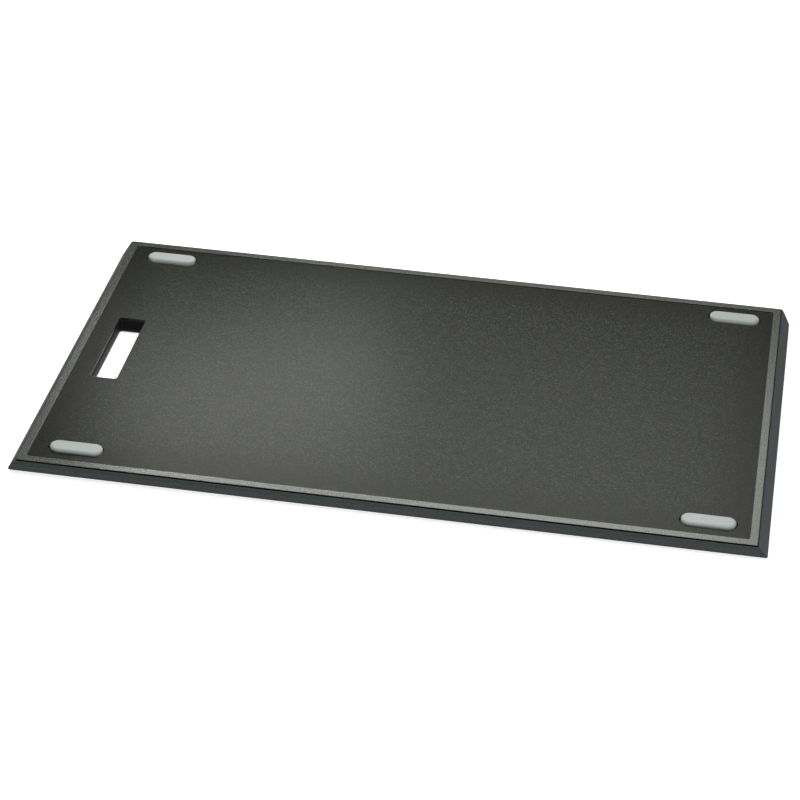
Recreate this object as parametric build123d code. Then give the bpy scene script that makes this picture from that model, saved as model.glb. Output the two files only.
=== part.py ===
from build123d import *
from math import radians, sin
import os

# A reversible kitchen cutting board: a core with a handle slot, one cutting panel let into each face,
# and four soft pads on each face that plug into the core.
# Millimetres. The board lies flat: +X is its long side with the slot at -X, -Y is the front edge, and
# +Z is up. The origin is under the middle of the board, on the surface that the lower pads stand on.

# ---- Driving dimensions -------------------------------------------------------------------------

# Upper cutting panel, whose edge is the outer edge of the rim strip.
PANEL_LENGTH = 485.8
PANEL_WIDTH = 303.4
PANEL_CORNER_RADIUS = 0.8

# Panel section: a flat rim strip round a slightly recessed cutting surface. Both panels share it. The
# strip is a little wider along the long sides than across the ends.
SIDE_STRIP_WIDTH = 5.9
END_STRIP_WIDTH = 5.2
RIM_HEIGHT = 0.5
PANEL_FLOOR = 2.2
RECESS_CORNER_RADIUS = 2.0
RECESS_EDGE_CHAMFER = 0.2

# Board thickness from the upper rim strip to the lower one.
BOARD_THICKNESS = 12.4

# Seam round each panel: the open gap, the core's lip outside it, and how far the lip lies lower.
SEAM_GAP = 0.5
LIP_WIDTH = 0.7
LIP_DROP = 0.9

# Edge faces. The short ends spread outwards on the way down and the long sides tuck in, so there is a
# pair of undercut edges to lift the board by whichever face is up. The long sides have an upright land
# above their slope, and the ends have a small one below theirs.
END_FLARE = 5.9
END_LAND = 1.4
SIDE_TUCK = 4.8
SIDE_LAND = 2.6
CORE_CORNER_RADIUS = 1.0
CORE_EDGE_CHAMFER = 0.4

# Handle slot through the core, and the margin by which the panel's window clears it.
SLOT_WIDTH = 18.0
SLOT_LENGTH = 80.2
SLOT_CORNER_RADIUS = 1.8
SLOT_INSET = 28.8
SLOT_WINDOW_MARGIN = 0.5
SLOT_EDGE_CHAMFER = 0.5

# Pads: the body of each one stands on the core, passes through a window in the panel and stands a
# little proud of the rim strip. The pads at the slot's end are set in further than the other two.
PAD_LENGTH = 36.3
PAD_WIDTH = 12.7
PAD_PROUD = 1.7
PAD_EDGE_RADIUS = 1.8
PAD_INSET_LEFT = 35.2
PAD_INSET_RIGHT = 32.6
PAD_INSET_Y = 20.6
PAD_GAP = 0.6

# The plug under each pad, with round ends like the pad's, and its blind pocket in the core.
PLUG_LENGTH = 25.0
PLUG_WIDTH = 5.2
PLUG_DEPTH = 2.0
POCKET_CLEARANCE = 0.1
POCKET_EXTRA_DEPTH = 0.4

# ---- Values that follow from them ---------------------------------------------------------------

PANEL_THICKNESS = PANEL_FLOOR + RIM_HEIGHT
SEAM_AND_LIP = SEAM_GAP + LIP_WIDTH
CORE_HEIGHT = BOARD_THICKNESS - 2 * LIP_DROP

CORE_TOP_LENGTH = PANEL_LENGTH + 2 * SEAM_AND_LIP
CORE_TOP_WIDTH = PANEL_WIDTH + 2 * SEAM_AND_LIP
CORE_BOTTOM_LENGTH = CORE_TOP_LENGTH + 2 * END_FLARE
CORE_BOTTOM_WIDTH = CORE_TOP_WIDTH - 2 * SIDE_TUCK

# The lower panel is shorter by what the ends' slope draws in beside its tray, which keeps that wall as
# thick as the lip.
TRAY_DEPTH = PANEL_THICKNESS - LIP_DROP
DRAWN_IN = END_FLARE * max(TRAY_DEPTH - END_LAND, 0) / (CORE_HEIGHT - END_LAND)
LOWER_PANEL_LENGTH = CORE_BOTTOM_LENGTH - 2 * (SEAM_AND_LIP + DRAWN_IN)
LOWER_PANEL_WIDTH = CORE_BOTTOM_WIDTH - 2 * SEAM_AND_LIP

MID_PLANE = PAD_PROUD + BOARD_THICKNESS / 2
SLOT_X = SLOT_INSET - PANEL_LENGTH / 2

PANEL_SIZES = {
    "upper": (PANEL_LENGTH, PANEL_WIDTH),
    "lower": (LOWER_PANEL_LENGTH, LOWER_PANEL_WIDTH),
}
PAD_CORNERS = {
    "front_left": (-1, -1),
    "front_right": (1, -1),
    "rear_left": (-1, 1),
    "rear_right": (1, 1),
}

# Every face's pieces are built face up about the board's middle plane, which is z = 0 here, and then
# mirrored for the lower face. The rim strip is this high above that plane, and so on down.
RIM_Z = BOARD_THICKNESS / 2
LIP_Z = RIM_Z - LIP_DROP
CUTTING_Z = RIM_Z - RIM_HEIGHT
SEAT_Z = RIM_Z - PANEL_THICKNESS
PAD_TOP_Z = RIM_Z + PAD_PROUD
PLUG_Z = SEAT_Z - PLUG_DEPTH

# Two heights closer than this are the same height.
SAME_HEIGHT = 0.01


def plate(outline, low, high):
    """The outline, a face in the XY plane, extruded from z = low to z = high."""
    return Pos(0, 0, low) * extrude(outline, amount=high - low)


def slot_outline(margin=0.0):
    """The handle slot's rounded outline, grown by a margin on every side."""
    width, length = SLOT_WIDTH + 2 * margin, SLOT_LENGTH + 2 * margin
    return Pos(SLOT_X, 0) * RectangleRounded(width, length, SLOT_CORNER_RADIUS + margin)


def pad_centres(side):
    """Each pad's name and centre on one face, set in from that face's own panel."""
    length, width = PANEL_SIZES[side]
    place_x = {-1: PAD_INSET_LEFT - length / 2, 1: length / 2 - PAD_INSET_RIGHT}
    reach_y = width / 2 - PAD_INSET_Y
    corners = PAD_CORNERS.items()
    return {name: (place_x[left_right], near_far * reach_y) for name, (left_right, near_far) in corners}


# ---- Core ---------------------------------------------------------------------------------------

def prism(half_profile, depth, plane):
    """A half profile of (across, height) points mirrored about its axis and extruded to both sides."""
    other_half = [(-across, height) for across, height in reversed(half_profile)]
    face = make_face(Polyline(*half_profile, *other_half, close=True))
    return extrude(plane * face, amount=depth / 2, both=True)


def core_blank():
    """The outer form: where the profile of the ends and the profile of the long sides meet."""
    top_x, bottom_x = CORE_TOP_LENGTH / 2, CORE_BOTTOM_LENGTH / 2
    top_y, bottom_y = CORE_TOP_WIDTH / 2, CORE_BOTTOM_WIDTH / 2
    across_ends = [(top_x, LIP_Z), (bottom_x, END_LAND - LIP_Z), (bottom_x, -LIP_Z)]
    across_sides = [(top_y, LIP_Z), (top_y, LIP_Z - SIDE_LAND), (bottom_y, -LIP_Z)]
    ends = prism(across_ends, CORE_TOP_WIDTH, Plane.XZ)
    sides = prism(across_sides, CORE_BOTTOM_LENGTH, Plane.YZ)
    blank = ends & sides
    blank = fillet(corner_edges(blank), CORE_CORNER_RADIUS)
    rims = blank.faces().filter_by(Axis.Z).edges()
    return chamfer(rims, CORE_EDGE_CHAMFER)


def corner_edges(blank):
    """The edges where an end face meets a long side: the only ones that aren't level."""
    return [edge for edge in blank.edges() if abs((edge @ 1 - edge @ 0).Z) > SAME_HEIGHT]


def tray(side):
    """The space for one face's panel and the pockets for its pads' plugs, built face up."""
    length, width = PANEL_SIZES[side]
    opening = RectangleRounded(length + 2 * SEAM_GAP, width + 2 * SEAM_GAP, PANEL_CORNER_RADIUS + SEAM_GAP)
    space = plate(opening, SEAT_Z, RIM_Z)
    pocket = SlotOverall(PLUG_LENGTH + 2 * POCKET_CLEARANCE, PLUG_WIDTH + 2 * POCKET_CLEARANCE)
    for centre in pad_centres(side).values():
        space += plate(Pos(*centre) * pocket, PLUG_Z - POCKET_EXTRA_DEPTH, SEAT_Z)
    return space


def slot_space():
    """The handle slot between the trays, opened out by a 45 degree chamfer at each mouth."""
    mouth = Pos(0, 0, SEAT_Z) * slot_outline(SLOT_EDGE_CHAMFER)
    flare = extrude(mouth, amount=-SLOT_EDGE_CHAMFER, taper=45)
    return plate(slot_outline(), -SEAT_Z, SEAT_Z) + flare + mirror(flare, about=Plane.XY)


def core():
    """The core: its outer form less the two trays, their pockets and the handle slot."""
    return core_blank() - tray("upper") - mirror(tray("lower"), about=Plane.XY) - slot_space()


# ---- Panels -------------------------------------------------------------------------------------

def panel(side):
    """One face's panel, built face up: the rim strip round the cutting surface, and its windows."""
    length, width = PANEL_SIZES[side]
    body = plate(RectangleRounded(length, width, PANEL_CORNER_RADIUS), SEAT_Z, RIM_Z)
    inner_length, inner_width = length - 2 * END_STRIP_WIDTH, width - 2 * SIDE_STRIP_WIDTH
    recess = RectangleRounded(inner_length, inner_width, RECESS_CORNER_RADIUS)
    body -= plate(recess, CUTTING_Z, RIM_Z)
    body -= plate(slot_outline(SLOT_WINDOW_MARGIN), SEAT_Z, RIM_Z)
    window = SlotOverall(PAD_LENGTH + 2 * PAD_GAP, PAD_WIDTH + 2 * PAD_GAP)
    for x, y in pad_centres(side).values():
        body -= plate(Pos(x, y) * window, SEAT_Z, RIM_Z)
    recess_top = body.faces().sort_by(Axis.Z)[-1].inner_wires()[0].edges()
    return chamfer(recess_top, RECESS_EDGE_CHAMFER)


# ---- Pads ---------------------------------------------------------------------------------------

def crown():
    """The top of a pad, inside its edge radius: the quarter round is drawn as two equal chords."""
    chord_sink = PAD_EDGE_RADIUS * sin(radians(45))
    chord_rise = PAD_EDGE_RADIUS - chord_sink
    lower = extrude(SlotOverall(PAD_LENGTH, PAD_WIDTH), amount=chord_sink, taper=22.5)
    upper = extrude(lower.faces().sort_by(Axis.Z)[-1], amount=chord_rise, taper=67.5)
    return Pos(0, 0, PAD_TOP_Z - PAD_EDGE_RADIUS) * (lower + upper)


def pad(centre):
    """One pad, built face up at its centre: a round-ended body with a soft top edge, on its plug."""
    body = plate(SlotOverall(PAD_LENGTH, PAD_WIDTH), SEAT_Z, PAD_TOP_Z - PAD_EDGE_RADIUS)
    plug = plate(SlotOverall(PLUG_LENGTH, PLUG_WIDTH), PLUG_Z, SEAT_Z)
    return Pos(*centre) * (body + crown() + plug)


# ---- The whole board ----------------------------------------------------------------------------

def board_nodes():
    """Every node's name and solid, about the board's middle plane."""
    nodes = {"core": core()}
    for side in PANEL_SIZES:
        face_up = {f"{side}_panel": panel(side)}
        for corner, centre in pad_centres(side).items():
            face_up[f"{side}_pad_{corner}"] = pad(centre)
        for name, solid in face_up.items():
            nodes[name] = solid if side == "upper" else mirror(solid, about=Plane.XY)
    return nodes


os.makedirs("parts", exist_ok=True)
for node, solid in board_nodes().items():
    export_step(Pos(0, 0, MID_PLANE) * solid, f"parts/{node}.step")
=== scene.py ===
"""A reversible kitchen cutting board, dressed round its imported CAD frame.

The board is a dark plastic core with one cutting panel let into each face and four soft grey pads on
each face. Everything is in metres, in the frame of the CAD: +X is the long side with the handle slot
at -X, -Y is the front edge, +Z is up, and z = 0 is the surface that the lower pads stand on.
"""

from __future__ import annotations

import logging
import math
from collections.abc import Mapping, Sequence
from dataclasses import dataclass, field
from enum import Enum
from typing import Any

import bmesh
import bpy
from mathutils import Euler, Matrix, Vector

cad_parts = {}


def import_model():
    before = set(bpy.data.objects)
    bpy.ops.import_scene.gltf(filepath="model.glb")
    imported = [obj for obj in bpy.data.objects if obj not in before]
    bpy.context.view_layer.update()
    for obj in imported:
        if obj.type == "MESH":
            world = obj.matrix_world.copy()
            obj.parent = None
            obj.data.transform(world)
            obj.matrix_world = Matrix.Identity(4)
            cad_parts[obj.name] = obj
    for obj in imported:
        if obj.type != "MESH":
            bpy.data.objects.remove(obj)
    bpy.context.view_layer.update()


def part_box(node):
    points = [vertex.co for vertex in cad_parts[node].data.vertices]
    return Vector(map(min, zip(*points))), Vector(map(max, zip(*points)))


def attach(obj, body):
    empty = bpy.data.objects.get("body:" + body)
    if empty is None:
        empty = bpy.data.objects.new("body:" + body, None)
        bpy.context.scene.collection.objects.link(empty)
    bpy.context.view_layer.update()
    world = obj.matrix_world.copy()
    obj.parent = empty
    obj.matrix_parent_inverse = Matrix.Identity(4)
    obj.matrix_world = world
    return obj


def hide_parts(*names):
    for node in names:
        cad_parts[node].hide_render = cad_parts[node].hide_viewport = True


LOG = logging.getLogger("cutting_board")

MM = 0.001
BODY = "root"

# Points of a mesh closer than this are one point.
SAME_POINT = 0.002 * MM

# The corner radius of a half-round end, as a part of its width. It is a little under a half, so that two
# corners never meet in one point, where a sweep would have no clear direction.
HALF_ROUND = 0.49

# The sRGB scale: a straight part up to the knee, and a power curve above it.
SRGB_KNEE = 0.04045
SRGB_SLOPE = 12.92
SRGB_OFFSET = 0.055
SRGB_POWER = 2.4

# How far a corner's shading follows its larger faces, and how alike two areas are to count as equal.
LARGE_FACES_FIRST = 100
SAME_AREA = 0.01

# A closed row of points in a mesh that is being built.
Ring = list[bmesh.types.BMVert]


class Side(Enum):
    """The face of the board that a piece belongs to, as it lies in the frame."""

    UPPER = "upper"
    LOWER = "lower"


class Corner(Enum):
    """The corner of its face that a pad is at, as the frame names it."""

    FRONT_LEFT = "front_left"
    FRONT_RIGHT = "front_right"
    REAR_LEFT = "rear_left"
    REAR_RIGHT = "rear_right"


# ---- Small tools ---------------------------------------------------------------------------------


def linear_colour(code: str) -> tuple[float, float, float, float]:
    """Turns an sRGB hex code into the linear colour that Blender's sockets take.

    Args:
        code: Six hex digits after a hash sign.

    Returns:
        Linear red, green and blue, and an alpha of 1.
    """
    red, green, blue = (linear_part(part / 255) for part in bytes.fromhex(code[1:]))
    return red, green, blue, 1.0


def linear_part(part: float) -> float:
    """Turns one sRGB value from 0 to 1 into its linear value."""
    if part <= SRGB_KNEE:
        return part / SRGB_SLOPE
    return ((part + SRGB_OFFSET) / (1 + SRGB_OFFSET)) ** SRGB_POWER


def features_of(size: float) -> float:
    """The noise scale whose features are this many metres across."""
    return 1 / size


def add_node(
    tree: bpy.types.NodeTree,
    kind: str,
    inputs: Mapping[str | int, Any] | None = None,
    **settings: Any,
) -> bpy.types.Node:
    """Adds a node to a tree, with its settings, its values and the links into it.

    Args:
        tree: The node tree of a material, a world or a modifier.
        kind: The node's type.
        inputs: For each input, by name or number, the socket that is linked to it or its value.
        settings: The node's own properties.

    Returns:
        The new node.
    """
    node = tree.nodes.new(kind)
    for name, value in settings.items():
        setattr(node, name, value)
    for key, value in (inputs or {}).items():
        if isinstance(value, bpy.types.NodeSocket):
            tree.links.new(value, node.inputs[key])
        else:
            node.inputs[key].default_value = value
    return node


def blank_material(name: str) -> bpy.types.Material:
    """Makes a material with an empty node tree.

    Args:
        name: The real material, and how its surface was made.

    Returns:
        The new material.
    """
    material = bpy.data.materials.new(name)
    material.use_nodes = True
    material.node_tree.nodes.clear()
    return material


def link_piece(name: str, mesh: bpy.types.Mesh) -> bpy.types.Object:
    """Puts a mesh into the scene as an object at the origin.

    Args:
        name: The piece's name.
        mesh: Its mesh, with its place in its points.

    Returns:
        The new object.
    """
    mesh.name = name
    piece = bpy.data.objects.new(name, mesh)
    bpy.context.scene.collection.objects.link(piece)
    return piece


def close_mesh(mesh: bpy.types.Mesh) -> None:
    """Merges a closed mesh's doubled points, turns its faces outwards and lets them shade smooth.

    Args:
        mesh: The mesh, which is changed in place.
    """
    work = bmesh.new()
    work.from_mesh(mesh)
    bmesh.ops.remove_doubles(work, verts=work.verts, dist=SAME_POINT)
    bmesh.ops.recalc_face_normals(work, faces=work.faces)
    for face in work.faces:
        face.smooth = True
    work.to_mesh(mesh)
    work.free()


def even_shading(piece: bpy.types.Object) -> None:
    """Lets a piece's large flat faces shade flat beside its small rounded edges.

    Args:
        piece: The piece, whose last modifier this becomes.
    """
    modifier = piece.modifiers.new("even_shading", "WEIGHTED_NORMAL")
    modifier.mode = "FACE_AREA"
    modifier.weight = LARGE_FACES_FIRST
    modifier.thresh = SAME_AREA


def hand_over(piece: bpy.types.Object, slot: str, *nodes: str) -> None:
    """Rides a finished piece on the board in place of its CAD nodes.

    Args:
        piece: The finished piece.
        slot: Not used.
        nodes: The CAD nodes that it stands for.
    """
    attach(piece, BODY)
    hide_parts(*nodes)
    LOG.info("%s: %d faces, in place of %s", piece.name, len(piece.data.polygons), ", ".join(nodes))


# ---- Geometry Nodes ------------------------------------------------------------------------------


@dataclass
class ShapeTree:
    """A Geometry Nodes tree with named inputs, which makes one closed, dressed piece.

    Every edge of a piece is one open section of four corners swept round one outline. The flat parts
    between the sweeps are filled level by level.
    """

    name: str
    lengths: Sequence[str]
    finishes: Sequence[str]
    tree: bpy.types.NodeTree = field(init=False)
    given: bpy.types.Node = field(init=False)

    # Points on each rounded corner of an outline and of a section, beyond its first one.
    OUTLINE_STEPS = 10
    SECTION_STEPS = 4

    # The number of a section's point at its upper corner, and of the faces beside an open edge.
    UPPER_CORNER = 1
    FACES_ON_OPEN_EDGE = 1

    def __post_init__(self) -> None:
        """Makes the empty tree and its inputs."""
        self.tree = bpy.data.node_groups.new(self.name, "GeometryNodeTree")
        face = self.tree.interface
        face.new_socket("Geometry", in_out="OUTPUT", socket_type="NodeSocketGeometry")
        for name in self.lengths:
            face.new_socket(name, in_out="INPUT", socket_type="NodeSocketFloat")
        for name in self.finishes:
            face.new_socket(name, in_out="INPUT", socket_type="NodeSocketMaterial")
        self.given = self.tree.nodes.new("NodeGroupInput")

    def of(self, name: str) -> bpy.types.NodeSocket:
        """The socket of one of the tree's named inputs."""
        return self.given.outputs[name]

    def add(
        self,
        kind: str,
        inputs: Mapping[str | int, Any] | None = None,
        **settings: Any,
    ) -> bpy.types.NodeSocket:
        """Adds a node and gives its first output."""
        return add_node(self.tree, kind, inputs, **settings).outputs[0]

    def sum(self, kind: str, first: Any, second: Any) -> bpy.types.NodeSocket:
        """One step of arithmetic, such as ADD or MULTIPLY, on two values."""
        return self.add("ShaderNodeMath", {0: first, 1: second}, operation=kind)

    def equal(self, first: Any, second: Any) -> bpy.types.NodeSocket:
        """Whether two whole numbers are equal. The node takes them on its sockets 2 and 3."""
        return self.add("FunctionNodeCompare", {2: first, 3: second}, data_type="INT", operation="EQUAL")

    def inset(self, size: Any, depth: Any) -> bpy.types.NodeSocket:
        """A size less the same depth at both ends."""
        return self.sum("SUBTRACT", size, self.sum("MULTIPLY", depth, 2.0))

    def at(self, across: Any = 0.0, along: Any = 0.0, up: Any = 0.0) -> bpy.types.NodeSocket:
        """A vector from three values."""
        return self.add("ShaderNodeCombineXYZ", {"X": across, "Y": along, "Z": up})

    def join(self, *parts: bpy.types.NodeSocket) -> bpy.types.NodeSocket:
        """Joins several geometries into one.

        Args:
            parts: The geometries.

        Returns:
            All of them together.
        """
        node = self.tree.nodes.new("GeometryNodeJoinGeometry")
        for part in parts:
            self.tree.links.new(part, node.inputs[0])
        return node.outputs[0]

    def outline(self, length: Any, width: Any, radius: Any) -> bpy.types.NodeSocket:
        """A closed rectangle about the origin with rounded corners.

        Args:
            length: Its size along X.
            width: Its size along Y.
            radius: The radius of its corners.

        Returns:
            The outline as a curve.
        """
        box = self.add("GeometryNodeCurvePrimitiveQuadrilateral", {"Width": length, "Height": width})
        return self.add(
            "GeometryNodeFilletCurve",
            {"Curve": box, "Count": self.OUTLINE_STEPS, "Radius": radius, "Limit Radius": True},
            mode="POLY",
        )

    def section(
        self,
        high: Any,
        high_land: Any,
        low: Any,
        low_land: Any,
        high_radius: Any,
        low_radius: Any,
        flare: Any = 0.0,
        tuck: Any = 0.0,
    ) -> bpy.types.NodeSocket:
        """An edge seen from its end: a land, a corner, a wall, a corner and a land.

        Args:
            high: The height of the upper land.
            high_land: How far the upper land reaches outwards from the wall. Inwards is negative.
            low: The height of the lower land.
            low_land: How far the lower land reaches outwards from the wall.
            high_radius: The rounding of the upper corner.
            low_radius: The rounding of the lower corner.
            flare: How far out the wall's head stands. The wall is upright without it and the tuck.
            tuck: How far in the wall's foot stands.

        Returns:
            The section as a curve, with X outwards and Y down.
        """
        top, bottom = (self.sum("MULTIPLY", height, -1.0) for height in (high, low))
        corners = {
            "Point 1": self.at(high_land, top),
            "Point 2": self.at(flare, top),
            "Point 3": self.at(self.sum("MULTIPLY", tuck, -1.0), bottom),
            "Point 4": self.at(low_land, bottom),
        }
        loop = self.add("GeometryNodeCurvePrimitiveQuadrilateral", corners, mode="POINTS")
        line = self.add("GeometryNodeSetSplineCyclic", {"Geometry": loop, "Cyclic": False})
        place = self.add("GeometryNodeInputIndex")
        is_high = self.equal(place, self.UPPER_CORNER)
        radius = self.add(
            "GeometryNodeSwitch",
            {"Switch": is_high, "False": low_radius, "True": high_radius},
            input_type="FLOAT",
        )
        return self.add(
            "GeometryNodeFilletCurve",
            {"Curve": line, "Count": self.SECTION_STEPS, "Radius": radius, "Limit Radius": True},
            mode="POLY",
        )

    def sweep(self, outline: bpy.types.NodeSocket, section: bpy.types.NodeSocket) -> bpy.types.NodeSocket:
        """Carries a section round an outline that lies flat."""
        level = self.add("GeometryNodeSetCurveNormal", {"Curve": outline}, mode="Z_UP")
        return self.add("GeometryNodeCurveToMesh", {"Curve": level, "Profile Curve": section})

    def filled(self, walls: bpy.types.NodeSocket, height: Any) -> bpy.types.NodeSocket:
        """Fills the flat part that the sweeps' open edges bound at one height.

        Args:
            walls: The joined sweeps.
            height: The height of the flat part.

        Returns:
            The flat part, with the holes that lie in it.
        """
        faces = self.add("GeometryNodeInputMeshEdgeNeighbors")
        is_open = self.equal(faces, self.FACES_ON_OPEN_EDGE)
        split = add_node(self.tree, "ShaderNodeSeparateXYZ", {0: self.add("GeometryNodeInputPosition")})
        is_level = self.add(
            "FunctionNodeCompare",
            {"A": split.outputs["Z"], "B": height, "Epsilon": SAME_POINT},
            operation="EQUAL",
        )
        both = self.add("FunctionNodeBooleanMath", {0: is_open, 1: is_level}, operation="AND")
        loops = self.add("GeometryNodeMeshToCurve", {"Mesh": walls, "Selection": both})
        flat = self.add("GeometryNodeFillCurve", {"Curve": loops}, mode="TRIANGLES")
        return self.add("GeometryNodeSetPosition", {"Geometry": flat, "Offset": self.at(up=height)})

    def finish(self, shape: bpy.types.NodeSocket) -> None:
        """Leads the last geometry to the tree's output."""
        add_node(self.tree, "NodeGroupOutput", {"Geometry": shape})

    def mesh(self, name: str, values: Mapping[str, Any]) -> bpy.types.Mesh:
        """Runs the tree once and keeps its result as a plain mesh.

        Args:
            name: The name for the mesh.
            values: A value for each named input.

        Returns:
            The closed mesh, with its materials.
        """
        carrier = link_piece(name, bpy.data.meshes.new(name))
        modifier = carrier.modifiers.new(self.name, "NODES")
        modifier.node_group = self.tree
        for item in self.tree.interface.items_tree:
            if item.name in values:
                modifier[item.identifier] = values[item.name]
        graph = bpy.context.evaluated_depsgraph_get()
        mesh = bpy.data.meshes.new_from_object(carrier.evaluated_get(graph), depsgraph=graph)
        carrier.modifiers.remove(modifier)
        bpy.data.objects.remove(carrier)
        close_mesh(mesh)
        while None in mesh.materials[:]:
            mesh.materials.pop(index=mesh.materials[:].index(None))
        return mesh


# ---- Finishes ------------------------------------------------------------------------------------


@dataclass(frozen=True)
class Grain:
    """The dull texture that a spark-eroded mould leaves on a plastic part.

    The pits of the real texture are 0.1 to 0.3 mm across, which is too fine to show, so both layers
    are drawn as coarse as the picture needs. Fine and coarse are the sizes of their features.
    """

    fine: float
    coarse: float
    depth: float
    strength: float

    # The octaves of each layer, how rough both are, and the coarse layer's part of the whole.
    FINE_OCTAVES = 2.0
    COARSE_OCTAVES = 1.0
    ROUGHNESS = 0.6
    COARSE_SHARE = 0.35

    def heights(self, tree: bpy.types.NodeTree) -> bpy.types.NodeSocket:
        """The height of the grain, from 0 to 1 and mostly near a half.

        Args:
            tree: The material's node tree.

        Returns:
            The height at each point of the surface.
        """
        place = add_node(tree, "ShaderNodeTexCoord").outputs["Object"]
        layers = [
            add_node(
                tree,
                "ShaderNodeTexNoise",
                {
                    "Vector": place,
                    "Scale": features_of(size),
                    "Detail": octaves,
                    "Roughness": self.ROUGHNESS,
                },
            ).outputs[0]
            for size, octaves in ((self.fine, self.FINE_OCTAVES), (self.coarse, self.COARSE_OCTAVES))
        ]
        return add_node(
            tree,
            "ShaderNodeMix",
            {"Factor": self.COARSE_SHARE, "A": layers[0], "B": layers[1]},
            data_type="FLOAT",
        ).outputs[0]

    def normals(self, tree: bpy.types.NodeTree, heights: bpy.types.NodeSocket) -> bpy.types.NodeSocket:
        """The normals of a surface with this grain."""
        return add_node(
            tree, "ShaderNodeBump", {"Strength": self.strength, "Distance": self.depth, "Height": heights}
        ).outputs[0]


@dataclass(frozen=True)
class PaintedRimShade:
    """Painted shade: the pale tops of a grain thin out towards the edges of a rectangle about the origin, so
    the surface darkens there.

    Reach is the width of the band along the edges, and least is what is left of the tops at its outside.
    """

    length: float
    width: float
    reach: float
    least: float

    def share(self, tree: bpy.types.NodeTree) -> bpy.types.NodeSocket:
        """The part of the pale tops that is left, from the least at the edges to all of them inside: the
        mask of the painted shade.

        Args:
            tree: The material's node tree.

        Returns:
            The part at each point of the surface.
        """
        place = add_node(tree, "ShaderNodeTexCoord").outputs["Object"]
        split = add_node(tree, "ShaderNodeSeparateXYZ", {0: place}).outputs
        from_edge = []
        for size, along in ((self.length, split["X"]), (self.width, split["Y"])):
            away = add_node(tree, "ShaderNodeMath", {0: along}, operation="ABSOLUTE").outputs[0]
            from_edge.append(
                add_node(tree, "ShaderNodeMath", {0: size / 2, 1: away}, operation="SUBTRACT").outputs[0]
            )
        nearest = add_node(
            tree, "ShaderNodeMath", {0: from_edge[0], 1: from_edge[1]}, operation="MINIMUM"
        ).outputs[0]
        return add_node(
            tree,
            "ShaderNodeMapRange",
            {"Value": nearest, "From Max": self.reach, "To Min": self.least},
            interpolation_type="SMOOTHSTEP",
        ).outputs[0]


@dataclass(frozen=True)
class MouldedPlastic:
    """A plastic part as it leaves its mould: one colour through and through, under a dull grain.

    The grain scatters the light, so the surface has a wide soft sheen and no mirror image, and the
    tops of the grain look paler than the pits between them. Contrast gives the heights of the grain
    between which the colour turns from that of the pits to that of the tops. The sheen's colour tints
    what the surface reflects.
    """

    name: str
    pit_colour: str
    top_colour: str
    grain: Grain
    roughness: float
    ior: float
    specular: float
    contrast: tuple[float, float] = (0.3, 0.7)
    sheen_colour: str = "#ffffff"
    painted_rim_shade: PaintedRimShade | None = None

    def material(self) -> bpy.types.Material:
        """Builds the material.

        Returns:
            The material, on Object coordinates.
        """
        material = blank_material(self.name)
        tree = material.node_tree
        heights = self.grain.heights(tree)
        spread = add_node(
            tree,
            "ShaderNodeMapRange",
            {"Value": heights, "From Min": self.contrast[0], "From Max": self.contrast[1]},
        ).outputs[0]
        # Painted shade: the pale tops thin out towards the edges, so the surface darkens there.
        if self.painted_rim_shade is not None:
            spread = add_node(
                tree, "ShaderNodeMath", {0: spread, 1: self.painted_rim_shade.share(tree)}, operation="MULTIPLY"
            ).outputs[0]
        # For colours, the node takes sockets 6 and 7 and gives socket 2.
        colour = add_node(
            tree,
            "ShaderNodeMix",
            {"Factor": spread, 6: linear_colour(self.pit_colour), 7: linear_colour(self.top_colour)},
            data_type="RGBA",
        ).outputs[2]
        shader = add_node(
            tree,
            "ShaderNodeBsdfPrincipled",
            {
                "Base Color": colour,
                "Roughness": self.roughness,
                "IOR": self.ior,
                "Specular IOR Level": self.specular,
                "Specular Tint": linear_colour(self.sheen_colour),
                "Normal": self.grain.normals(tree, heights),
            },
        ).outputs[0]
        add_node(tree, "ShaderNodeOutputMaterial", {"Surface": shader})
        return material


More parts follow.
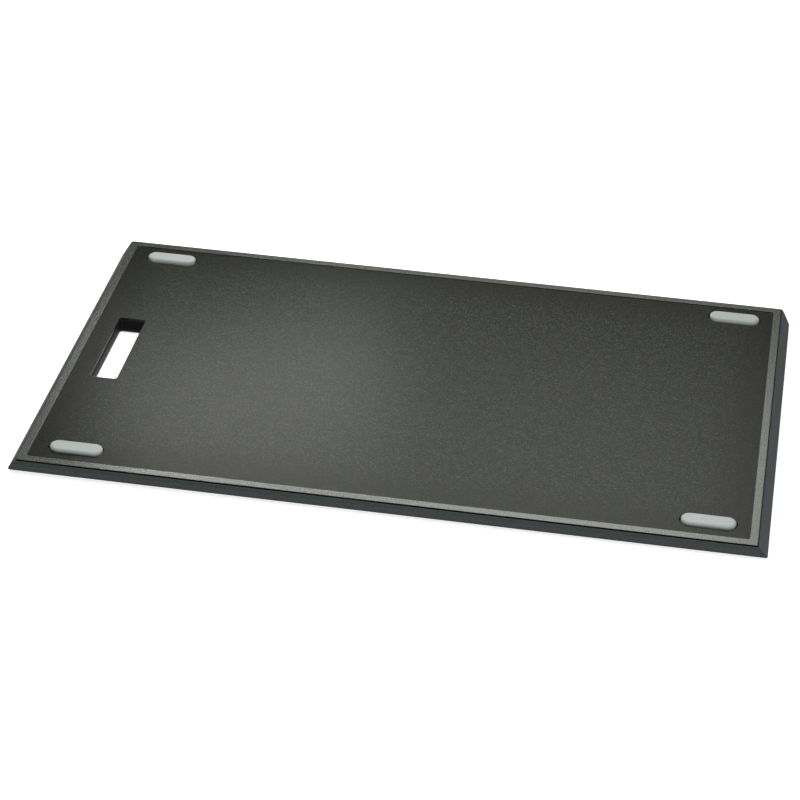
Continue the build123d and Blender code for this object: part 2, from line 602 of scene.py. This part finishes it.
class Finish(Enum):
    """Every finish of the board."""

    # Polypropylene, injection moulded, spark-eroded mould: a warm charcoal with a fine grain of pale
    # tops on near-black pits, and a wide soft sheen. Painted shade: the tops thin out towards the edges
    # of the recess, so the surface looks darker there.
    CUTTING_FACE = MouldedPlastic(
        name="polypropylene_cutting_face",
        pit_colour="#060605",
        top_colour="#3e4139",
        grain=Grain(fine=0.75 * MM, coarse=1.3 * MM, depth=0.05 * MM, strength=0.65),
        roughness=0.325,
        ior=1.49,
        specular=0.105,
        contrast=(0.5, 0.6),
        sheen_colour="#f5ffe6",
        painted_rim_shade=PaintedRimShade(length=475.4 * MM, width=291.6 * MM, reach=45 * MM, least=0.35),
    )
    # The same polypropylene off a smoother part of the mould, which reflects more: it looks paler and
    # greyer than the cutting surface where light falls along it, with light and dark grains.
    RIM_STRIP = MouldedPlastic(
        name="polypropylene_rim_strip",
        pit_colour="#121310",
        top_colour="#50524c",
        grain=Grain(fine=0.5 * MM, coarse=1.0 * MM, depth=0.02 * MM, strength=0.07),
        roughness=0.27,
        ior=1.49,
        specular=0.5,
        contrast=(0.42, 0.58),
        sheen_colour="#f8fff0",
    )
    # Glass-filled polypropylene, injection moulded: the stiff core, cooler and a little bluer, with a
    # dull grained surface that hardly reflects.
    CORE = MouldedPlastic(
        name="glass_filled_polypropylene_core",
        pit_colour="#3c4041",
        top_colour="#505455",
        grain=Grain(fine=0.6 * MM, coarse=1.2 * MM, depth=0.05 * MM, strength=0.5),
        roughness=0.65,
        ior=1.5,
        specular=0.08,
    )
    # The same plastic on the slot's walls, with hardly any grain. Its nearly black colour is painted
    # shade, for the shade inside the slot.
    SLOT_WALL_PAINTED_SHADE = MouldedPlastic(
        name="glass_filled_polypropylene_slot_wall_painted_shade",
        pit_colour="#111212",
        top_colour="#1a1b1b",
        grain=Grain(fine=0.6 * MM, coarse=1.2 * MM, depth=0.01 * MM, strength=0.1),
        roughness=0.5,
        ior=1.5,
        specular=0.04,
    )
    # Thermoplastic elastomer, moulded: soft light grey grips that look smooth, with a wide dull sheen
    # on their rounded edges.
    SOFT_PAD = MouldedPlastic(
        name="thermoplastic_elastomer_pad",
        pit_colour="#abb1ae",
        top_colour="#b3b9b6",
        grain=Grain(fine=0.7 * MM, coarse=3.0 * MM, depth=0.02 * MM, strength=0.3),
        roughness=0.5,
        ior=1.5,
        specular=0.35,
    )


# ---- The board's sub-assemblies ------------------------------------------------------------------


@dataclass(frozen=True)
class Slot:
    """The handle slot through the whole board."""

    place: float = -214.1 * MM
    width: float = 18.0 * MM
    length: float = 80.2 * MM
    radius: float = 1.8 * MM
    window_margin: float = 0.5 * MM
    mouth: float = 0.5 * MM


@dataclass(frozen=True)
class PadShape:
    """One soft pad and its plug."""

    length: float = 36.3 * MM
    width: float = 12.7 * MM
    rounding: float = 1.8 * MM
    gap: float = 0.6 * MM
    plug_length: float = 25.0 * MM
    plug_width: float = 5.2 * MM
    plug_depth: float = 2.0 * MM
    pocket_clearance: float = 0.1 * MM
    pocket_extra_depth: float = 0.4 * MM

    @staticmethod
    def middle(side: Side, corner: Corner) -> tuple[float, float]:
        """The place of a pad's middle along X and Y, read from its CAD node."""
        low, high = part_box(f"{side.value}_pad_{corner.value}")
        return (low.x + high.x) / 2, (low.y + high.y) / 2


@dataclass(frozen=True)
class FaceLevels:
    """The heights of a face's surfaces when that face is up, and how to lay it in the frame."""

    side: Side
    seat: float
    cutting: float
    rim: float
    pad_top: float
    middle: float

    # How far the rim strip stands above the cutting surface.
    RIM_HEIGHT = 0.5 * MM

    @classmethod
    def read(cls, side: Side) -> FaceLevels:
        """Reads a face's heights from the CAD nodes.

        Args:
            side: The face.

        Returns:
            Its heights, as if the board lay with that face up.
        """
        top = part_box("upper_pad_front_left")[1].z
        low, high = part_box("upper_panel")
        return cls(side, low.z, high.z - cls.RIM_HEIGHT, high.z, top, top / 2)

    def lay(self, mesh: bpy.types.Mesh) -> None:
        """Turns a mesh that was built face up over the board's long axis, if it is on the lower face.

        Args:
            mesh: The mesh, which is changed in place.
        """
        if self.side is Side.LOWER:
            lift = Matrix.Translation((0, 0, self.middle))
            mesh.transform(lift @ Matrix.Rotation(math.pi, 4, "X") @ lift.inverted())


@dataclass
class CuttingPanel:
    """One face's cutting panel: a raised flat rim strip round a recessed cutting surface.

    It has a window for the handle slot and one for each pad.
    """

    levels: FaceLevels
    slot: Slot
    pad: PadShape
    corner_radius: float = 0.8 * MM
    end_strip: float = 5.2 * MM
    side_strip: float = 5.9 * MM
    recess_radius: float = 2.0 * MM
    rounding: float = 0.2 * MM
    land: float = 0.45 * MM

    @staticmethod
    def make_tree() -> ShapeTree:
        """The tree that makes a panel face up.

        Returns:
            The tree, for both panels.
        """
        lengths = [
            "Length", "Width", "Corner Radius", "End Strip", "Side Strip", "Recess Radius", "Rounding",
            "Land", "Seat", "Cutting", "Rim", "Slot Place", "Slot Width", "Slot Length", "Slot Radius",
            "Windows Place", "Windows Spread X", "Windows Spread Y", "Window Length", "Window Width",
        ]  # fmt: skip
        shape = ShapeTree("let_in_panel", lengths, ["Face Finish", "Strip Finish"])
        of = shape.of
        inwards = shape.sum("MULTIPLY", of("Land"), -1.0)
        rounding = of("Rounding")

        outer = shape.outline(of("Length"), of("Width"), of("Corner Radius"))
        recess = shape.outline(
            shape.inset(of("Length"), of("End Strip")),
            shape.inset(of("Width"), of("Side Strip")),
            of("Recess Radius"),
        )
        slot = shape.add(
            "GeometryNodeTransform",
            {
                "Geometry": shape.outline(of("Slot Width"), of("Slot Length"), of("Slot Radius")),
                "Translation": shape.at(of("Slot Place")),
            },
        )
        corners = shape.add(
            "GeometryNodeMeshGrid",
            {
                "Size X": of("Windows Spread X"),
                "Size Y": of("Windows Spread Y"),
                "Vertices X": 2,
                "Vertices Y": 2,
            },
        )
        end_radius = shape.sum("MULTIPLY", of("Window Width"), HALF_ROUND)
        window = shape.outline(of("Window Length"), of("Window Width"), end_radius)
        places = shape.add(
            "GeometryNodeTransform", {"Geometry": corners, "Translation": shape.at(of("Windows Place"))}
        )
        windows = shape.add("GeometryNodeInstanceOnPoints", {"Points": places, "Instance": window})
        holes = shape.add("GeometryNodeRealizeInstances", {"Geometry": shape.join(slot, windows)})

        edge = shape.section(of("Rim"), inwards, of("Seat"), inwards, rounding, rounding)
        step = shape.section(of("Rim"), of("Land"), of("Cutting"), inwards, rounding, rounding)
        mouth = shape.section(of("Cutting"), of("Land"), of("Seat"), of("Land"), rounding, rounding)
        walls = shape.join(shape.sweep(outer, edge), shape.sweep(recess, step), shape.sweep(holes, mouth))
        flats = [shape.filled(walls, of(level)) for level in ("Rim", "Cutting", "Seat")]
        whole = shape.add("GeometryNodeRealizeInstances", {"Geometry": shape.join(walls, *flats)})

        spread = add_node(shape.tree, "ShaderNodeSeparateXYZ", {0: shape.add("GeometryNodeInputPosition")})
        foot = shape.sum("ADD", of("Cutting"), rounding)
        on_strip = shape.add(
            "FunctionNodeCompare", {"A": spread.outputs["Z"], "B": foot}, operation="GREATER_THAN"
        )
        faced = shape.add("GeometryNodeSetMaterial", {"Geometry": whole, "Material": of("Face Finish")})
        dressed = shape.add(
            "GeometryNodeSetMaterial",
            {"Geometry": faced, "Selection": on_strip, "Material": of("Strip Finish")},
        )
        shape.finish(dressed)
        return shape

    def build(self, tree: ShapeTree, face: bpy.types.Material, strip: bpy.types.Material) -> None:
        """Makes the panel and hands it over.

        Args:
            tree: The tree from make_tree.
            face: The finish of the cutting surface.
            strip: The finish of the rim strip.
        """
        node = f"{self.levels.side.value}_panel"
        low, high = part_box(node)
        left, reach = self.pad.middle(self.levels.side, Corner.REAR_LEFT)
        right = self.pad.middle(self.levels.side, Corner.REAR_RIGHT)[0]
        mesh = tree.mesh(
            f"{node}_moulding",
            {
                "Length": high.x - low.x,
                "Width": high.y - low.y,
                "Corner Radius": self.corner_radius,
                "End Strip": self.end_strip,
                "Side Strip": self.side_strip,
                "Recess Radius": self.recess_radius,
                "Rounding": self.rounding,
                "Land": self.land,
                "Seat": self.levels.seat,
                "Cutting": self.levels.cutting,
                "Rim": self.levels.rim,
                "Slot Place": self.slot.place,
                "Slot Width": self.slot.width + 2 * self.slot.window_margin,
                "Slot Length": self.slot.length + 2 * self.slot.window_margin,
                "Slot Radius": self.slot.radius + self.slot.window_margin,
                "Windows Place": (left + right) / 2,
                "Windows Spread X": right - left,
                "Windows Spread Y": 2 * reach,
                "Window Length": self.pad.length + 2 * self.pad.gap,
                "Window Width": self.pad.width + 2 * self.pad.gap,
                "Face Finish": face,
                "Strip Finish": strip,
            },
        )
        self.levels.lay(mesh)
        piece = link_piece(f"{node}_moulding", mesh)
        even_shading(piece)
        hand_over(piece, "panel", node)


@dataclass
class SoftPads:
    """The four soft pads of one face, which keep the board from sliding.

    A pad's sides lean in a little towards its foot, so that a dark line shows round it in its window.
    """

    levels: FaceLevels
    pad: PadShape
    land: float = 2.4 * MM
    small_rounding: float = 0.2 * MM
    stem_land: float = 0.6 * MM
    flare: float = 0.35 * MM
    tuck: float = 0.9 * MM

    @staticmethod
    def make_tree() -> ShapeTree:
        """The tree that makes one pad face up.

        Returns:
            The tree, for all eight pads.
        """
        lengths = [
            "Place X", "Place Y", "Length", "Width", "Rounding", "Small Rounding", "Land", "Stem Land",
            "Flare", "Tuck", "Top", "Seat", "Plug Length", "Plug Width", "Plug Foot",
        ]  # fmt: skip
        shape = ShapeTree("soft_pad", lengths, ["Finish"])
        of = shape.of
        inwards = shape.sum("MULTIPLY", of("Land"), -1.0)
        small = of("Small Rounding")
        body = shape.outline(of("Length"), of("Width"), shape.sum("MULTIPLY", of("Width"), HALF_ROUND))
        plug = shape.outline(
            of("Plug Length"), of("Plug Width"), shape.sum("MULTIPLY", of("Plug Width"), HALF_ROUND)
        )
        crown = shape.section(
            of("Top"), inwards, of("Seat"), inwards, of("Rounding"), small, of("Flare"), of("Tuck")
        )
        stem_inwards = shape.sum("MULTIPLY", of("Stem Land"), -1.0)
        stem = shape.section(of("Seat"), of("Stem Land"), of("Plug Foot"), stem_inwards, small, small)
        walls = shape.join(shape.sweep(body, crown), shape.sweep(plug, stem))
        flats = [shape.filled(walls, of(level)) for level in ("Top", "Seat", "Plug Foot")]
        whole = shape.add("GeometryNodeRealizeInstances", {"Geometry": shape.join(walls, *flats)})
        placed = shape.add(
            "GeometryNodeTransform",
            {"Geometry": whole, "Translation": shape.at(of("Place X"), of("Place Y"))},
        )
        shape.finish(shape.add("GeometryNodeSetMaterial", {"Geometry": placed, "Material": of("Finish")}))
        return shape

    def build(self, tree: ShapeTree, finish: bpy.types.Material) -> None:
        """Makes the face's pads and hands each of them over.

        Args:
            tree: The tree from make_tree.
            finish: The pads' finish.
        """
        turned = -1 if self.levels.side is Side.LOWER else 1
        for corner in Corner:
            node = f"{self.levels.side.value}_pad_{corner.value}"
            place_x, place_y = self.pad.middle(self.levels.side, corner)
            mesh = tree.mesh(
                f"{node}_moulding",
                {
                    "Place X": place_x,
                    "Place Y": turned * place_y,
                    "Length": self.pad.length,
                    "Width": self.pad.width,
                    "Rounding": self.pad.rounding,
                    "Small Rounding": self.small_rounding,
                    "Land": self.land,
                    "Stem Land": self.stem_land,
                    "Flare": self.flare,
                    "Tuck": self.tuck,
                    "Top": self.levels.pad_top,
                    "Seat": self.levels.seat,
                    "Plug Length": self.pad.plug_length,
                    "Plug Width": self.pad.plug_width,
                    "Plug Foot": self.levels.seat - self.pad.plug_depth,
                    "Finish": finish,
                },
            )
            self.levels.lay(mesh)
            piece = link_piece(f"{node}_moulding", mesh)
            even_shading(piece)
            hand_over(piece, "pad", node)


@dataclass(frozen=True)
class Loop:
    """A level rounded rectangle: half its sizes, its corner radius, its height and its middle."""

    half_x: float
    half_y: float
    radius: float
    height: float
    middle: tuple[float, float] = (0.0, 0.0)

    # The steps that each rounded corner is drawn in.
    STEPS = 8

    def ring(self, work: bmesh.types.BMesh) -> Ring:
        """Adds the loop's points to a mesh, counter-clockwise seen from above.

        Args:
            work: The mesh.

        Returns:
            The points in order.
        """
        places: list[Vector] = []
        for quarter, (sign_x, sign_y) in enumerate(((1, 1), (-1, 1), (-1, -1), (1, -1))):
            centre_x = self.middle[0] + sign_x * (self.half_x - self.radius)
            centre_y = self.middle[1] + sign_y * (self.half_y - self.radius)
            for step in range(self.STEPS + 1):
                turn = math.pi / 2 * (quarter + step / self.STEPS)
                x = centre_x + self.radius * math.cos(turn)
                y = centre_y + self.radius * math.sin(turn)
                places.append(Vector((x, y, self.height)))
        # Where the ends are half circles, the straight sides between two corners have no length.
        kept = [place for at, place in enumerate(places) if (place - places[at - 1]).length > SAME_POINT]
        return [work.verts.new(place) for place in kept]


def loft(work: bmesh.types.BMesh, loops: Sequence[Loop]) -> tuple[Ring, Ring]:
    """Bridges loops one after the other with quads.

    Args:
        work: The mesh.
        loops: The loops in order.

    Returns:
        The points of the first loop and of the last.
    """
    rings = [loop.ring(work) for loop in loops]
    for near, far in zip(rings, rings[1:]):
        for at in range(len(near)):
            work.faces.new((near[at - 1], near[at], far[at], far[at - 1]))
    return rings[0], rings[-1]


def fill(work: bmesh.types.BMesh, *rings: Ring) -> None:
    """Fills the level area inside the first ring, less the areas inside the others."""
    edges = [work.edges.get((ring[at - 1], ring[at])) for ring in rings for at in range(len(ring))]
    bmesh.ops.triangle_fill(work, use_beauty=True, use_dissolve=False, edges=edges)


@dataclass
class BoardCore:
    """The core: a slab with sloping edge faces, a tray in each face and the handle slot.

    The short ends spread outwards on the way down and the long sides tuck in. Edges sharper than
    rounded_from are rounded. The flat margin keeps each fill's long triangles off the rounded edges.
    """

    slot: Slot
    pad: PadShape
    seam_gap: float = 0.5 * MM
    lip_width: float = 0.7 * MM
    lip_drop: float = 0.9 * MM
    end_land: float = 1.4 * MM
    side_land: float = 2.6 * MM
    corner_radius: float = 1.0 * MM
    panel_corner_radius: float = 0.8 * MM
    rounding: float = 0.25 * MM
    rounding_steps: int = 3
    rounded_from: float = math.radians(26)
    flat_margin: float = 0.8 * MM

    def build(self, finish: bpy.types.Material, slot_painted_shade: bpy.types.Material) -> None:
        """Makes the core and hands it over.

        Args:
            finish: The core's finish.
            slot_painted_shade: The finish of the slot's walls, nearly black as painted shade.
        """
        work = bmesh.new()
        upper, lower = (self.tray_loops(side) for side in Side)
        floors = loft(work, upper + self.outside_loops() + lower[::-1])
        slot_rings = loft(work, self.slot_loops())
        for side, floor, mouth in zip(Side, floors, slot_rings):
            fill(work, floor, mouth, *self.pockets(work, side))
        bmesh.ops.recalc_face_normals(work, faces=work.faces)
        mesh = bpy.data.meshes.new("core_moulding")
        work.to_mesh(mesh)
        work.free()
        close_mesh(mesh)
        for material in (finish, slot_painted_shade):
            mesh.materials.append(material)
        # The faces in the slot take the nearly black finish, which is painted shade.
        for face in mesh.polygons:
            face.material_index = int(self.is_in_slot(face.center))
        piece = link_piece("core_moulding", mesh)
        soften = piece.modifiers.new("rounded_edges", "BEVEL")
        soften.width = self.rounding
        soften.segments = self.rounding_steps
        soften.limit_method = "ANGLE"
        soften.angle_limit = self.rounded_from
        even_shading(piece)
        hand_over(piece, "core", "core")

    def tray_loops(self, side: Side) -> list[Loop]:
        """A tray from a little way in on its floor up to the lip's inner edge.

        Args:
            side: The face that the tray is in.

        Returns:
            The loops from the floor to the lip.
        """
        low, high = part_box(f"{side.value}_panel")
        half_x, half_y = high.x + self.seam_gap, high.y + self.seam_gap
        radius = self.panel_corner_radius + self.seam_gap
        seat, lip = low.z, high.z - self.lip_drop
        if side is Side.LOWER:
            seat, lip = high.z, low.z + self.lip_drop
        margin = self.flat_margin
        return [
            Loop(half_x - margin, half_y - margin, radius - margin, seat),
            Loop(half_x, half_y, radius, seat),
            Loop(half_x, half_y, radius, lip),
        ]

    def outside_loops(self) -> list[Loop]:
        """The outside from the upper lip down to the lower one.

        Returns:
            The loops at each height where a face of the outside changes its slope.
        """
        upper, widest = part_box("upper_panel")[1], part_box("core")[1]
        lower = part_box("lower_panel")
        rim = self.seam_gap + self.lip_width
        top, bottom = upper.z - self.lip_drop, lower[0].z + self.lip_drop
        top_x, bottom_y = upper.x + rim, lower[1].y + rim
        height = top - bottom

        def loop(drop: float) -> Loop:
            """The outside at one depth below the upper lip.

            Args:
                drop: The depth.

            Returns:
                The loop there.
            """
            spread = min(drop / (height - self.end_land), 1.0)
            tuck = max((drop - self.side_land) / (height - self.side_land), 0.0)
            half_x = top_x + (widest.x - top_x) * spread
            half_y = widest.y + (bottom_y - widest.y) * tuck
            return Loop(half_x, half_y, self.corner_radius, top - drop)

        return [loop(drop) for drop in (0.0, self.side_land, height - self.end_land, height)]

    def slot_loops(self) -> list[Loop]:
        """The slot from one tray's floor to the other, opened out at each mouth.

        Returns:
            The loops from top to bottom.
        """
        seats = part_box("upper_panel")[0].z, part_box("lower_panel")[1].z
        grown = self.flat_margin + self.slot.mouth
        levels = (
            (seats[0], grown),
            (seats[0], self.slot.mouth),
            (seats[0] - self.slot.mouth, 0.0),
            (seats[1] + self.slot.mouth, 0.0),
            (seats[1], self.slot.mouth),
            (seats[1], grown),
        )
        return [
            Loop(
                self.slot.width / 2 + margin,
                self.slot.length / 2 + margin,
                self.slot.radius + margin,
                height,
                (self.slot.place, 0.0),
            )
            for height, margin in levels
        ]

    def is_in_slot(self, place: Vector) -> bool:
        """Whether a place lies within the slot's mouth, seen from above.

        Args:
            place: A point in the frame.

        Returns:
            True between the mouth's four sides.
        """
        half_x = self.slot.width / 2 + self.slot.mouth
        half_y = self.slot.length / 2 + self.slot.mouth
        return abs(place.x - self.slot.place) < half_x and abs(place.y) < half_y

    def pockets(self, work: bmesh.types.BMesh, side: Side) -> list[Ring]:
        """Adds the four pockets for a face's plugs.

        Args:
            work: The core's mesh.
            side: The face.

        Returns:
            The pockets' rings on the tray's floor.
        """
        low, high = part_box(f"{side.value}_panel")
        down = 1 if side is Side.LOWER else -1
        seat = high.z if side is Side.LOWER else low.z
        foot = seat + down * (self.pad.plug_depth + self.pad.pocket_extra_depth)
        half_x = self.pad.plug_length / 2 + self.pad.pocket_clearance
        half_y = self.pad.plug_width / 2 + self.pad.pocket_clearance
        rings = []
        margin = self.flat_margin
        for corner in Corner:
            middle = self.pad.middle(side, corner)
            loops = [
                Loop(half_x + margin, half_y + margin, half_y + margin, seat, middle),
                Loop(half_x, half_y, half_y, seat, middle),
                Loop(half_x, half_y, half_y, foot, middle),
                Loop(half_x - margin, half_y - margin, half_y - margin, foot, middle),
            ]
            mouth, floor = loft(work, loops)
            fill(work, floor)
            rings.append(mouth)
        return rings


# ---- Studio --------------------------------------------------------------------------------------


@dataclass(frozen=True)
class Softbox:
    """A white studio lamp with a soft rectangular front, turned to the frame's origin."""

    name: str
    place: tuple[float, float, float]
    size: tuple[float, float]
    power: float

    def hang(self) -> None:
        """Adds the lamp to the scene."""
        lamp = bpy.data.lights.new(self.name, "AREA")
        lamp.shape = "RECTANGLE"
        lamp.size, lamp.size_y = self.size
        lamp.energy = self.power
        holder = bpy.data.objects.new(self.name, lamp)
        holder.location = self.place
        holder.rotation_euler = Vector(self.place).to_track_quat("Z", "Y").to_euler()
        holder.visible_camera = False
        bpy.context.scene.collection.objects.link(holder)


@dataclass
class Studio:
    """A white floor that turns up into a low backdrop, soft lamps, and the camera."""

    lamps: Sequence[Softbox]
    ambient_colour: str = "#ffffff"
    ambient_strength: float = 0.01
    floor_radius: float = 12.0
    backdrop_height: float = 2.2
    floor_steps: int = 96
    floor_colour: str = "#e6e6e6"
    floor_roughness: float = 0.9
    floor_specular: float = 0.2

    # The white that the floor shows of its own to the camera and in reflections. Lamplight adds the
    # rest, so a soft shadow still shows.
    floor_own_white: float = 0.8

    # The camera's place, its turn in degrees and its lens and sensor in millimetres. The board's
    # straight edges give them.
    camera_place: tuple[float, float, float] = (0.22837, -1.53761, 0.97731)
    camera_turn: tuple[float, float, float] = (57.7622, -1.3414, 9.7477)
    lens: float = 118.796
    sensor: float = 36.0

    def set_up(self) -> None:
        """Builds the floor, the lamps, the world and the camera."""
        self.lay_floor()
        for lamp in self.lamps:
            lamp.hang()
        self.light_world()
        self.place_camera()
        bpy.context.scene.view_settings.view_transform = "Standard"

    def lay_floor(self) -> None:
        """Lays the floor at z = 0 with the backdrop round it."""
        work = bmesh.new()
        turns = [math.tau * step / self.floor_steps for step in range(self.floor_steps)]
        edge = [(self.floor_radius * math.cos(turn), self.floor_radius * math.sin(turn)) for turn in turns]
        floor = [work.verts.new((x, y, 0.0)) for x, y in edge]
        top = [work.verts.new((x, y, self.backdrop_height)) for x, y in edge]
        work.faces.new(floor)
        for at in range(self.floor_steps):
            work.faces.new((floor[at], floor[at - 1], top[at - 1], top[at]))
        mesh = bpy.data.meshes.new("studio_floor")
        work.to_mesh(mesh)
        work.free()
        mesh.materials.append(self.floor_material())
        link_piece("studio_floor", mesh)

    def floor_material(self) -> bpy.types.Material:
        """Painted board, matt: white to the camera and in reflections, and it keeps a soft shadow.

        Returns:
            The material.
        """
        material = blank_material("matt_white_studio_paint")
        tree = material.node_tree
        rays = add_node(tree, "ShaderNodeLightPath").outputs
        seen = rays["Is Camera Ray"]
        for name in ("Is Glossy Ray", "Is Transmission Ray"):
            seen = add_node(tree, "ShaderNodeMath", {0: seen, 1: rays[name]}, operation="MAXIMUM").outputs[0]
        glow = add_node(
            tree, "ShaderNodeMath", {0: seen, 1: self.floor_own_white}, operation="MULTIPLY"
        ).outputs[0]
        shader = add_node(
            tree,
            "ShaderNodeBsdfPrincipled",
            {
                "Base Color": linear_colour(self.floor_colour),
                "Roughness": self.floor_roughness,
                "Specular IOR Level": self.floor_specular,
                "Emission Color": linear_colour("#ffffff"),
                "Emission Strength": glow,
            },
        ).outputs[0]
        add_node(tree, "ShaderNodeOutputMaterial", {"Surface": shader})
        return material

    def light_world(self) -> None:
        """Fills the room with a little even light."""
        world = bpy.data.worlds.new("studio_room")
        world.use_nodes = True
        tree = world.node_tree
        tree.nodes.clear()
        sky = add_node(
            tree,
            "ShaderNodeBackground",
            {"Color": linear_colour(self.ambient_colour), "Strength": self.ambient_strength},
        ).outputs[0]
        add_node(tree, "ShaderNodeOutputWorld", {"Surface": sky})
        bpy.context.scene.world = world

    def place_camera(self) -> None:
        """Adds the camera and makes it the scene's."""
        camera = bpy.data.cameras.new("camera")
        camera.lens = self.lens
        camera.sensor_width = self.sensor
        holder = bpy.data.objects.new("camera", camera)
        holder.location = self.camera_place
        holder.rotation_euler = Euler([math.radians(turn) for turn in self.camera_turn])
        bpy.context.scene.collection.objects.link(holder)
        bpy.context.scene.camera = holder


SOFTBOXES = (
    # Two lamps behind the board, opposite the camera, lay the soft sheen on its middle.
    Softbox("rear_softbox", place=(-0.24, 0.50, 0.377), size=(0.266, 0.06), power=1.08),
    Softbox("rear_overhead_softbox", place=(0.05, 0.71, 0.753), size=(0.46, 0.59), power=4.3),
    # A long lamp close above the front edge, whose light falls off towards the far edge.
    Softbox("front_overhead_softbox", place=(0.0, -0.30, 0.50), size=(0.85, 0.2), power=2.5),
    # Two large lamps lift the faces that the others leave dark.
    Softbox("rear_left_softbox", place=(-0.8, 0.8, 0.6), size=(0.5, 0.5), power=1.0),
    Softbox("front_right_softbox", place=(0.95, -0.7, 0.7), size=(0.5, 0.5), power=3.8),
)


def main() -> None:
    """Builds the studio and the board."""
    logging.basicConfig(level=logging.INFO, format="%(name)s: %(message)s")
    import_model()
    Studio(SOFTBOXES).set_up()

    finishes = {finish: finish.value.material() for finish in Finish}
    slot, pad = Slot(), PadShape()
    BoardCore(slot, pad).build(finishes[Finish.CORE], finishes[Finish.SLOT_WALL_PAINTED_SHADE])
    panel_tree, pad_tree = CuttingPanel.make_tree(), SoftPads.make_tree()
    for side in Side:
        levels = FaceLevels.read(side)
        panel = CuttingPanel(levels, slot, pad)
        panel.build(panel_tree, finishes[Finish.CUTTING_FACE], finishes[Finish.RIM_STRIP])
        SoftPads(levels, pad).build(pad_tree, finishes[Finish.SOFT_PAD])


if __name__ == "__main__":
    main()
